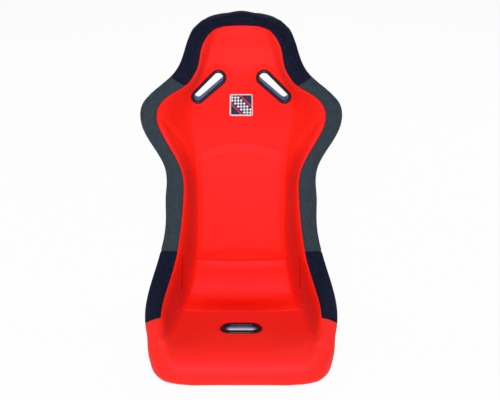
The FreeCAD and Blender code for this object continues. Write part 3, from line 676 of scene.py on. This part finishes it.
def velour():
    """Cotton-backed polyester velour: a dense 1.5 mm pile, matt, softly patchy, with painted
    shade and painted highlight from the panels' second UV map: deeper red and duller in the
    painted shade, brighter red and shinier in the painted highlight."""
    material, shader = new_material(
        "red_velour", Roughness=0.6, Specular_Tint=linear("#ffb4ff"), Sheen_Weight=0.03,
        Sheen_Roughness=0.5,
    )
    # The second UV map holds painted light and shade; with soft noise for patchiness it sets the
    # red, deeper in painted shade and brighter in painted highlight
    lean_map = node(material, "UVMap", uv_map="Nap").outputs["UV"]
    lean = node(material, "SeparateXYZ", {"Vector": lean_map}).outputs["X"]
    total = calculate(material, "MULTIPLY_ADD", noise(material, 11.0, 5.0), 0.4, lean)
    ramp(material, shader, total, "#da1000", "#fb2410", 0.2, 1.2)
    # The specular level follows the same painted light: a painted highlight where it is high
    shine = calculate(material, "MULTIPLY_ADD", lean, 0.24, 0.04)
    link(shine, shader.inputs["Specular IOR Level"])
    bump(material, shader, noise(material, 600.0, 2.0), 0.0006, 0.5)
    return material


def cloth(name, low, high, sheen):
    """Plain-woven polyester seat cloth: a fine even weave at 2.4 mm, twice the real spacing so
    that it shows, from two crossed waves on the panel's own UV map, with a slight fleck."""
    material, shader = new_material(
        name, Roughness=0.8, Sheen_Weight=0.12, Sheen_Roughness=0.4, Sheen_Tint=linear(sheen),
        Specular_IOR_Level=0.12,
    )
    ramp(material, shader, noise(material, 90.0, 4.0), low, high)
    uv = node(material, "TexCoord").outputs["UV"]
    waves = [
        node(material, "TexWave", {"Vector": uv}, bands_direction=way, Scale=130.0).outputs["Fac"]
        for way in ("X", "Y")
    ]
    bump(material, shader, calculate(material, "MULTIPLY", *waves), 0.0004, 0.5)
    return material


def grained(name, low, high, grain, height, roughness, **settings):
    """A moulded, extruded or cast surface: a base colour that varies a little over a grain of
    the given scale, which also stands up by a fraction of a millimetre."""
    material, shader = new_material(name, Roughness=roughness, **settings)
    speck = noise(material, grain, 4.0)
    ramp(material, shader, speck, low, high)
    bump(material, shader, speck, height, 0.35)
    return material


def patch_twill():
    """Embroidered twill: dark blue cloth with a diagonal ribbon of pale thread checks, each
    6 mm, between two thin red lines."""
    material, shader = new_material(
        "patch_twill", Roughness=0.7, Sheen_Weight=0.2, Specular_IOR_Level=0.3
    )
    uv = node(material, "TexCoord").outputs["UV"]
    turned = node(material, "Mapping", {"Vector": uv, "Rotation": (0, 0, math.radians(45))})
    ahead = {"Vector": turned.outputs["Vector"]}
    checks = node(
        material, "TexChecker", ahead,
        Scale=1 / (6 * MM), Color1=linear("#dcdde2"), Color2=linear("#1a2148"),
    )
    split = node(material, "SeparateXYZ", ahead)
    far = calculate(material, "ABSOLUTE", split.outputs["Y"])
    bands = node(material, "ValToRGB", {"Fac": far})
    bands.color_ramp.interpolation = "CONSTANT"
    for position, red in ((0.0145, 1.0), (0.0165, 0.0)):
        bands.color_ramp.elements.new(position).color = (red, red, red, 1)
    bands.color_ramp.elements[0].color = (0, 0, 0, 1)
    bands.color_ramp.elements[-1].color = (0, 0, 0, 1)
    cloth_colour = node(
        material, "Mix",
        {0: bands.outputs["Color"], 6: linear("#1a2148"), 7: linear("#d3262a")},
        data_type="RGBA",
    )
    ribbon = calculate(material, "LESS_THAN", far, 0.012)
    whole = node(
        material, "Mix",
        {0: ribbon, 6: cloth_colour.outputs[2], 7: checks.outputs["Color"]}, data_type="RGBA",
    )
    link(whole.outputs[2], shader.inputs["Base Color"])
    threads = node(material, "TexWave", ahead, bands_direction="X", Scale=320.0)
    bump(material, shader, threads.outputs["Fac"], 0.0003, 0.6)
    return material


finishes = {
    "velour": velour(),
    "navy": cloth("navy_cloth", "#090d1e", "#10162e", "#4456b0"),
    "grey": cloth("grey_cloth", "#2d373f", "#353f48", "#6a787f"),
    # Polyester gelcoat, black and glossy, with the slow ripple of a hand-laid wall
    "gelcoat": grained(
        "black_gelcoat", "#0b0c0e", "#131417", 14.0, 0.0015, 0.25,
        Coat_Weight=0.4, Coat_Roughness=0.08, IOR=1.52,
    ),
    # Injection-moulded ABS, blue-black, satin, with a fine etched grain
    "bezel": grained(
        "bezel_abs", "#0a0c18", "#111427", 900.0, 0.0002, 0.38, Specular_IOR_Level=0.25
    ),
    # The same plastic inside the slots, in a lighter blue that is a painted reflection on the
    # sleeves' walls
    "sleeve": grained(
        "abs_painted_reflection", "#6a78b8", "#8794d2", 40.0, 0.0002, 0.5, Specular_IOR_Level=0.15
    ),
    # Open-cell seat foam where a slot is cut through it
    "foam": grained("cut_foam", "#c4c4be", "#e2e2dc", 500.0, 0.0006, 0.9),
    # Extruded EPDM rubber, satin black
    "trim": grained("epdm_rubber", "#0f1013", "#17181b", 700.0, 0.0003, 0.6, IOR=1.5),
    # Hot-rolled steel, pickled and oiled: dull, with faint streaks
    "plate": grained("rolled_steel", "#7e8083", "#96989b", 120.0, 0.0001, 0.42, Metallic=1.0),
    # Black oxide steel screws
    "screw": grained(
        "black_oxide_steel", "#26272a", "#3a3b3e", 300.0, 0.0001, 0.38, Metallic=1.0
    ),
    # Bonded polyester thread, slightly waxed
    "red_thread": grained("red_thread", "#b8100a", "#cf1810", 900.0, 0.0002, 0.6),
    "navy_thread": grained("navy_thread", "#070916", "#0d1124", 900.0, 0.0002, 0.6),
    "pale_thread": grained("pale_thread", "#c9cad2", "#dedfe4", 900.0, 0.0003, 0.6),
    "patch": patch_twill(),
}


def finish_with(thing, finish):
    thing.data.materials.clear()
    thing.data.materials.append(finishes[finish])


def fit(thing, finish, *replaced):
    """Gives a piece its finish, fixes it to the seat, and lets it stand for its solids."""
    finish_with(thing, finish)
    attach(thing, "root")
    if replaced:
        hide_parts(*replaced)
    return thing


def add_finish(thing, finish, chosen):
    """Gives some faces of a piece a second finish."""
    thing.data.materials.append(finishes[finish])
    thing.data.polygons.foreach_set("material_index", chosen.astype(np.int32))


def add_nap(thing, cells):
    """Writes the painted light and shade as a second UV map of a panel over some cells, so that it
    is kept where slots are cut. The panel's points are those cells' points, on its top and then
    below."""
    values = np.tile(lean.ravel(), 2)
    top = np.unique(quads(*lean.shape)[cells])
    used = np.concatenate([top, top + lean.size])
    add_uv(thing.data, "Nap", np.repeat(values[used][:, None], 2, axis=1))


# Cutting the slots

ROUND = 48


def slot_outline(wide, narrow, span, grow):
    """Points round a slot with ends of two radii, by the angle of each end's arc: the arcs meet
    the two straight sides where these touch both circles."""
    wide, narrow, middle = wide + grow, narrow + grow, span / 2
    slant = math.asin((wide - narrow) / span)
    turn = np.linspace(-math.pi / 2 - slant, math.pi / 2 + slant, ROUND // 2)
    back = np.linspace(math.pi / 2 + slant, 3 * math.pi / 2 - slant, ROUND // 2)
    right = np.stack([middle + wide * np.cos(turn), wide * np.sin(turn)], axis=-1)
    left = np.stack([narrow * np.cos(back) - middle, narrow * np.sin(back)], axis=-1)
    return np.concatenate([right, left])


def prism(outline, place, low, high):
    """A closed prism of an outline between two heights along a slot's axis."""
    rings = [np.column_stack([outline, np.full(len(outline), z)]) for z in (low, high)]
    return capped_rings("cutter", put(np.array([rings]), place), shade=False)


def cut(thing, cutters):
    """Cuts solids out of a closed mesh, applies the result, and removes the cutters."""
    for cutter in cutters:
        modifier = thing.modifiers.new("cut", "BOOLEAN")
        modifier.operation, modifier.object, modifier.solver = "DIFFERENCE", cutter, "EXACT"
    graph = bpy.context.evaluated_depsgraph_get()
    mesh = bpy.data.meshes.new_from_object(thing.evaluated_get(graph), depsgraph=graph)
    thing.modifiers.clear()
    old, thing.data = thing.data, mesh
    mesh.name = thing.name
    bpy.data.meshes.remove(old)
    for cutter in cutters:
        bpy.data.objects.remove(cutter)


CROTCH_RING = crotch_place()
CROTCH_RING[:3, 3] += (0, -7.8, 1.5)
SLIT = dict(wide=6.5, narrow=6.5, span=104)
SLIT_X = 175


def slit_place(side):
    """The cover's slit for the lap belt, in front of the sleeve's mouth in the foam."""
    return placing((side * SLIT_X, 37, 149.5), (0, 0, 1), (side, 0, 0))


openings = {
    "back_panel": [
        (slot_outline(**SHOULDER, grow=6.5), shoulder_place(side), -60, 60) for side in (-1, 1)
    ],
    "seat_panel": [(slot_outline(**CROTCH, grow=9), CROTCH_RING, -40, 60)],
    "lumbar_panel": [(slot_outline(**SLIT, grow=0), slit_place(side), -30, 30) for side in (-1, 1)],
}
uv = np.stack([grid_share * UV_WIDTH, grid_at], axis=-1)
# Painted light and shade for the velour at every point of the grid
lean = nap(grid_at, grid_share)
for name, (cells, sheet, finish, replaced) in panels.items():
    bottom = ground - outward * thickness[..., None]
    thing = closed_block(name, faces[sheet], bottom, cells, uv)
    # The velour panels carry the painted light and shade as their second UV map
    if finish == "velour":
        add_nap(thing, cells)
    if name in openings:
        cut(thing, [prism(*opening) for opening in openings[name]])
    fit(thing, finish, *replaced)

# The moulded rings in the cover, and the cut foam under the middle one


def slot_ring(name, places, profile, climb=0.0):
    """Closed rings round slots: a profile of pairs (distance out from the slot's outline,
    height) follows each outline, and what lies deep climbs in proportion to its depth. Returns
    the object and each face's number in the profile."""
    points, corners = [], []
    for place, slot in places:
        rings = [
            put(np.column_stack([slot_outline(**slot, grow=out), np.full(ROUND, height)]), place)
            + np.array((0, 0, climb * max(0, -height))) for out, height in profile
        ]
        turned = ring_quads(len(profile), ROUND, closed=True)[:, [0, 3, 2, 1]]
        corners.append(turned + sum(len(p) for p in points))
        points.append(np.concatenate(rings))
    thing = mesh_object(name, np.concatenate(points), np.concatenate(corners))
    return thing, np.tile(np.repeat(np.arange(len(profile)), ROUND), len(places))


LIP_STEPS = 12


def lip_profile(inside, outside, proud, foot, depth):
    """Over the lip as half a superellipse, down the inside of the sleeve, and back outside."""
    turn = np.linspace(0, math.pi, LIP_STEPS + 1)
    swing = np.sign(np.cos(turn)) * np.abs(np.cos(turn)) ** 0.7
    across_lip = mix(inside, outside, 0.5 + 0.5 * swing)
    rise = foot + (proud - foot) * np.sin(turn) ** 0.7
    over_lip = np.column_stack([across_lip, rise])
    wall = inside + SLEEVE
    return [*over_lip.tolist(), (inside, -depth), (wall, -depth), (wall, foot - 1.5)]


def bezels(name, places, profile, *replaced, climb=0.0):
    """Rings whose sleeves, the profile's step after the lip, take a lighter blue as a painted
    reflection.
    """
    thing, number = slot_ring(name, places, profile, climb)
    fit(thing, "bezel", *replaced)
    add_finish(thing, "sleeve", number == LIP_STEPS)


bezels(
    "shoulder_rings", [(shoulder_place(side), SHOULDER) for side in (-1, 1)],
    lip_profile(-0.5, 8.2, 6, -1, 36), "front_bezels", climb=0.14,
)
bezels(
    "lap_rings", [(lap_place(side), LAP) for side in (-1, 1)],
    lip_profile(0, SLEEVE + 6, 0, -8, 51), "lap_bezels",
)
bezels("crotch_ring", [(CROTCH_RING, CROTCH)], lip_profile(-4, SLEEVE + LIP, 6, -2, 7.5))
lining, number = slot_ring(
    "cut_foam", [(CROTCH_RING, CROTCH)], [(-1, -7), (-3.5, -7), (-3.5, -24), (-1, -24)]
)
fit(lining, "foam")

# Black belt guides behind the slits: a strip under the cover, a little larger than each slit
near_slit = np.zeros(grid_line.shape, bool)
for side in (-1, 1):
    close = slot_gap(ground, slit_place(side), **SLIT) < 4
    near_slit |= close & (np.abs(ground[..., 0] - side * SLIT_X) < 25)
guide_cells = near_slit[:-1, :-1] & near_slit[1:, 1:] & cell_range("rear", "lumbar", -1, 1)
top, bottom = ground - 5 * outward, ground - 9 * outward
fit(closed_block("belt_guides", top, bottom, guide_cells, uv), "bezel")

# The moulded shell

# Flats are pressed in for the mounts, and a pad stands under the base, 360 by 114 mm
PRESSED = dict(half=229.5, front=-200, back=130, low=46, high=74)
PAD = dict(half_x=180, half_y=57, radius=25)
PAD_MIDDLE = 69
BOLT_RADIUS, BOLT_Z, BOLT_Y = 7.1, 60, (-179, 111)


shell_lines = np.linspace(SHELL_FIRST, SHELL_LAST, 300)
wave = np.linspace(-0.9, 0.9, 161) * math.pi / 2
shell_at, shell_share = np.meshgrid(shell_lines, np.sin(wave) / np.sin(wave[-1]), indexing="ij")
outer = shell(shell_at, shell_share)
inward = normals(shell, shell_at, shell_share, SHELL_FIRST, SHELL_LAST)
inner = outer + inward * WALL
x, y, z = np.moveaxis(outer, -1, 0)
pressed = (y > PRESSED["front"]) & (y < PRESSED["back"])
pressed &= (z > PRESSED["low"]) & (z < PRESSED["high"])
outer[..., 0] = np.where(pressed, np.clip(x, -PRESSED["half"], PRESSED["half"]), x)
under = z < SOLE + 0.5
pad = smooth(PAD["radius"] + 1, PAD["radius"] - 1, corner_reach(x, y - PAD_MIDDLE, **PAD)[2])
outer[..., 2] = np.where(under, z - SOLE * pad, z)
shell_uv = np.stack([shell_share * UV_WIDTH, shell_at], axis=-1)
everywhere = np.ones((outer.shape[0] - 1, outer.shape[1] - 1), bool)
tub = closed_block("moulded_shell", inner, outer, everywhere, shell_uv)
circle = np.stack([np.cos(turns(32)), np.sin(turns(32))], axis=-1)
holes = []
for side in (-1, 1):
    holes.append((slot_outline(**SHOULDER, grow=2.9), shoulder_place(side), -60, 0))
    holes.append((slot_outline(**LAP, grow=2.9), lap_place(side), -130, 20))
    for bolt_y in BOLT_Y:
        place = placing((side * PRESSED["half"], bolt_y, BOLT_Z), (0, 1, 0), (side, 0, 0))
        holes.append((BOLT_RADIUS * circle, place, -9, 9))
holes.append((slot_outline(**CROTCH, grow=2.9), crotch_place(), -60, 0))
cut(tub, [prism(*hole) for hole in holes])
fit(tub, "gelcoat", "shell")

# Edge trim: a rounded strip all round the end of the cover


def border_loop():
    """Every other point of the grid's outline as one loop, with its outward normals."""
    number = np.arange(grid_line.size).reshape(grid_line.shape)
    rim = [number[:-1, 0], number[-1, :-1], number[:0:-1, -1], number[0, :0:-1]]
    kept = np.concatenate(rim)[::2]
    return ground.reshape(-1, 3)[kept], outward.reshape(-1, 3)[kept]


def evened(points, passes):
    """A closed line with its corners eased: each point moves towards its neighbours' middle."""
    for number in range(passes):
        points = (np.roll(points, 1, 0) + 2 * points + np.roll(points, -1, 0)) / 4
    return points


loop, loop_out = border_loop()
loop, loop_out = evened(loop, 3), unit(evened(loop_out, 3))
forward = unit(np.roll(loop, -1, 0) - np.roll(loop, 1, 0))
beyond = unit(np.cross(forward, loop_out))
TRIM_WIDTH, TRIM_MIDDLE, TRIM_HALF = 4.0, 0.3, 2.2
corner = turns(16)
wide = np.sign(np.cos(corner)) * TRIM_WIDTH * np.abs(np.cos(corner)) ** 0.5
high = TRIM_MIDDLE + TRIM_HALF * np.sign(np.sin(corner)) * np.abs(np.sin(corner)) ** 0.5
bead = loop[:, None] + beyond[:, None] * wide[:, None] + loop_out[:, None] * high[:, None]
bead_faces = ring_quads(len(loop), len(corner), closed=True)
fit(mesh_object("edge_bead", bead.reshape(-1, 3), bead_faces), "trim", "edge_trim")

# Stitches along the seams

STITCH, PITCH, THREAD = 3.4, 4.6, 0.55


def stitches(name, finish, *seams):
    """Rows of sewn stitches: at even steps along each path lies a short six-sided bead, thinner
    towards both ends, half sunk in the cloth."""
    centres, forwards, ups = [], [], []
    for path, up in seams:
        length = np.concatenate([[0], np.cumsum(np.linalg.norm(np.diff(path, axis=0), axis=1))])
        at = np.arange(PITCH, length[-1] - PITCH, PITCH)

        def along(values, offset):
            columns = [np.interp(at + offset, length, values[:, k]) for k in range(3)]
            return np.stack(columns, axis=-1)

        centres.append(along(path, 0))
        forwards.append(unit(along(path, 1) - along(path, -1)))
        ups.append(unit(along(up, 0)))
    centre, ahead, up = (np.concatenate(v)[:, None, None] for v in (centres, forwards, ups))
    beside = np.cross(ahead, up)
    reach = np.array((-0.5, -0.36, 0.0, 0.36, 0.5)) * STITCH
    thick = np.array((0.25, 0.8, 1.0, 0.8, 0.25)) * THREAD
    angle = turns(6)[:, None]
    points = centre + ahead * reach[:, None, None]
    points = points + (beside * np.cos(angle) + up * np.sin(angle)) * thick[:, None, None]
    fit(capped_rings(name, points), finish)


def beside_seam(rows, columns, offset, sheet):
    """A path beside a seam: the seam's grid points moved sideways by an offset in millimetres
    along the surface, at the height of the panel there."""
    line = faces[sheet][rows, columns]
    up = outward[rows, columns]
    ahead = unit(np.gradient(line, axis=0))
    moved = line + unit(np.cross(up, ahead)) * offset
    near = 1 - min(abs(offset) / ROLL_WIDTH, 1)
    lift = ROLL_DEPTH * math.sqrt(1 - near**2)
    return moved + up * (lift + 0.1), up


def hood_border():
    """Grid points of the hood's seam: from the collar up one side, over the arch, and down."""
    up_rows = np.arange(row_of["collar"], row_of["arch"] + 1)
    over_columns = np.arange(RIGHT_SEAM - 1, LEFT_SEAM, -1)
    rows = np.concatenate([up_rows, np.full(len(over_columns), row_of["arch"]), up_rows[::-1]])
    columns = np.concatenate([
        np.full(len(up_rows), RIGHT_SEAM), over_columns, np.full(len(up_rows), LEFT_SEAM)
    ])
    return rows, columns


head_rows, head_columns = hood_border()
stitches(
    "head_stitches", "navy_thread",
    *[beside_seam(head_rows, head_columns, offset, "head") for offset in (-4.5, -10.5)],
)
rows = np.arange(row_of["hip"], row_of["collar"] + 1)
stitches("side_stitches", "navy_thread", *[
    beside_seam(rows, np.full(len(rows), number), offset, sheet)
    for number, offset, sheet in (
        (RIGHT_SEAM, -4.5, "right_side"), (LEFT_SEAM, 4.5, "left_side")
    )
])
columns = np.flatnonzero(np.abs(column) < CROSS_SEAM)
stitches("cross_stitches", "red_thread", *[
    beside_seam(np.full(len(columns), row_of[row]), columns, 4.5, "velour")
    for row in ("lumbar", "rear")
])

# Chest patch: a twill badge with a raised thread border

PATCH_WIDTH, PATCH_HEIGHT, PATCH_Z, PATCH_CORNER = 65, 62, 605, 5
BORDER = 3.2


def on_chest(x, z, height):
    """Points on the back at x and height z, lifted along the surface's normal: the distance
    along and the share across are read back from the middle line and from one section."""
    table = np.linspace(AT["chest"] - 20, AT["collar"], 200)
    shares = np.linspace(0, CREASE_SHARE, 200)
    at = np.interp(z, face(table, np.zeros(200))[:, 2], table)
    section = face(np.full(200, AT["yoke"]), shares)[:, 0]
    share = np.sign(x) * np.interp(np.abs(x), section, shares)
    lift = height + relief(at, share) + CAP
    return face(at, share) + normals(face, at, share, ALONG[0], ALONG[-1]) * lift[..., None]


def chest_badge():
    """A grid over a rectangle with round corners: its rim stands up as a half-round bead."""
    u, v = np.meshgrid(np.linspace(-1, 1, 66), np.linspace(-1, 1, 63), indexing="ij")
    half_width, half_height = PATCH_WIDTH / 2, PATCH_HEIGHT / 2
    shape = (half_width, half_height, PATCH_CORNER)
    x, z = u * half_width, v * half_height
    over_x, over_z, reach = corner_reach(x, z, *shape)
    pull = PATCH_CORNER / np.maximum(reach, PATCH_CORNER)
    x = x - np.sign(x) * over_x * (1 - pull)
    z = z - np.sign(z) * over_z * (1 - pull)
    inside = np.minimum(half_width - np.abs(x), half_height - np.abs(z))
    inside = np.minimum(inside, PATCH_CORNER - corner_reach(x, z, *shape)[2])
    bead = np.sqrt(np.clip(1 - ((inside - BORDER / 2) / (BORDER / 2)) ** 2, 0, 1))
    top = on_chest(x, PATCH_Z + z, 1.0 + 1.1 * bead)
    bottom = on_chest(x, PATCH_Z + z, np.full(x.shape, -3.0))
    cells = np.ones((x.shape[0] - 1, x.shape[1] - 1), bool)
    badge = closed_block("chest_badge", top, bottom, cells, np.stack([x, z], axis=-1))
    return badge, inside[:-1, :-1] < BORDER


badge, rim_cells = chest_badge()
fit(badge, "patch", "chest_patch")
beneath = np.ones(len(badge.data.polygons) - rim_cells.size, bool)
add_finish(badge, "pale_thread", np.concatenate([rim_cells.ravel(), beneath]))

# Screws that hold the rear rings

SCREW_RADIUS, SOCKET = 3.4, 1.9


def screw_heads(places):
    """Pan heads with a six-sided socket: a profile turned about each place's axis, whose two
    innermost rings are a hexagon by the formula of its flats."""
    angle = turns(24)
    sector = (angle + math.pi / 6) % (math.pi / 3) - math.pi / 6
    flats = SOCKET * math.cos(math.pi / 6) / np.cos(sector)
    full = np.full(len(angle), SCREW_RADIUS)
    rings = (
        (full, -0.5), (full, 1.2), (full * 0.86, 2.1), (flats * 1.12, 2.4),
        (flats, 2.2), (flats, 0.8), (flats * 0.05, 0.6),
    )
    points = np.stack([
        vector(radius * np.cos(angle), radius * np.sin(angle), height) for radius, height in rings
    ])
    return capped_rings("ring_screws", np.stack([put(points, place) for place in places]))


places = []
rim = SLEEVE + LIP / 2
for rear, slot in slots(BEHIND_SHOULDER, BELOW_CROTCH):
    wide, narrow, span = slot["wide"], slot["narrow"], slot["span"]
    spots = (
        (span / 2 + wide + rim, 0), (-span / 2 - narrow - rim, 0),
        (0, (wide + narrow) / 2 + rim), (0, -(wide + narrow) / 2 - rim),
    )
    for x, y in spots:
        place = rear.copy()
        place[:3, 3] = put(np.array((x, y, 4.0)), rear)
        places.append(place)
fit(screw_heads(places), "screw")

# Parts whose solids are already right only get their finish

plain = {"rear_bezels": "bezel", "left_mount_plate": "plate", "right_mount_plate": "plate"}
for name, finish in plain.items():
    finish_with(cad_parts[name], finish)

# Floor, light and camera: the focal length and shifts are in pixels of the picture's width


def seen_bright(owner, output, plain, bright, other_ray, share=1.0):
    """Shows a plain surface or sky as a bright one to the camera and to one other kind of ray."""
    rays = node(owner, "LightPath").outputs
    seen = calculate(owner, "MAXIMUM", rays["Is Camera Ray"], rays[other_ray])
    part = calculate(owner, "MULTIPLY", seen, share)
    blend = node(owner, "MixShader", {0: part, 1: plain, 2: bright})
    end = owner.node_tree.nodes[output].inputs["Surface"]
    link(blend.outputs["Shader"], end)


FLOOR = 9000
floor = mesh_object(
    "floor", [(-FLOOR, -FLOOR, 0), (FLOOR, -FLOOR, 0), (FLOOR, FLOOR, 0), (-FLOOR, FLOOR, 0)],
    [(0, 1, 2, 3)],
)
paint, paint_shader = new_material("studio_floor", Roughness=0.9)
paint_shader.inputs["Base Color"].default_value = linear("#f2f2f2")
glow = node(paint, "Emission", Strength=1.0).outputs["Emission"]
seen_bright(paint, "Material Output", paint_shader.outputs["BSDF"], glow, "Is Glossy Ray", 0.93)
floor.data.materials.append(paint)

scene.view_settings.view_transform = "Standard"
world = bpy.data.worlds.new("studio")
scene.world = world
world.use_nodes = True
ambient = world.node_tree.nodes["Background"]
ambient.inputs["Color"].default_value = (1, 1, 1, 1)
ambient.inputs["Strength"].default_value = 0.2
bright = node(world, "Background", {"Color": (1, 1, 1, 1)}, Strength=1.0)
seen_bright(
    world, "World Output", ambient.outputs["Background"], bright.outputs["Background"],
    "Is Transmission Ray",
)


def softbox(name, place, aim, size, power):
    light = bpy.data.lights.new(name, "AREA")
    light.shape, light.size, light.size_y, light.energy = "RECTANGLE", *size, power
    lamp = bpy.data.objects.new(name, light)
    lamp.location = place
    lamp.rotation_euler = (Vector(aim) - Vector(place)).to_track_quat("-Z", "Y").to_euler()
    scene.collection.objects.link(lamp)


softbox("key", (-0.15, -2.8, 2.3), (0, 0, 0.4), (1.2, 1.2), 100)
softbox("left", (-2.2, 1.2, 1.3), (0, 0, 0.4), (1.0, 1.4), 12)
softbox("right", (2.2, 1.2, 1.3), (0, 0, 0.4), (1.0, 1.4), 12)
softbox("back", (0.3, 2.6, 2.4), (0, 0, 0.5), (2.0, 1.2), 30)

DISTANCE, PICTURE, FOCAL, SENSOR = 3.0, 500, 1085, 36
camera = bpy.data.objects.new("camera", bpy.data.cameras.new("camera"))
tilt = math.radians(30)
target = Vector((0, -0.006, 0.4))
camera.location = target + DISTANCE * Vector((0, -math.cos(tilt), math.sin(tilt)))
camera.rotation_euler = (math.pi / 2 - tilt, 0, 0)
camera.data.sensor_width = SENSOR
camera.data.lens = FOCAL * SENSOR / PICTURE
camera.data.shift_x, camera.data.shift_y = 8.8 / PICTURE, 6.9 / PICTURE
scene.collection.objects.link(camera)
scene.camera = camera
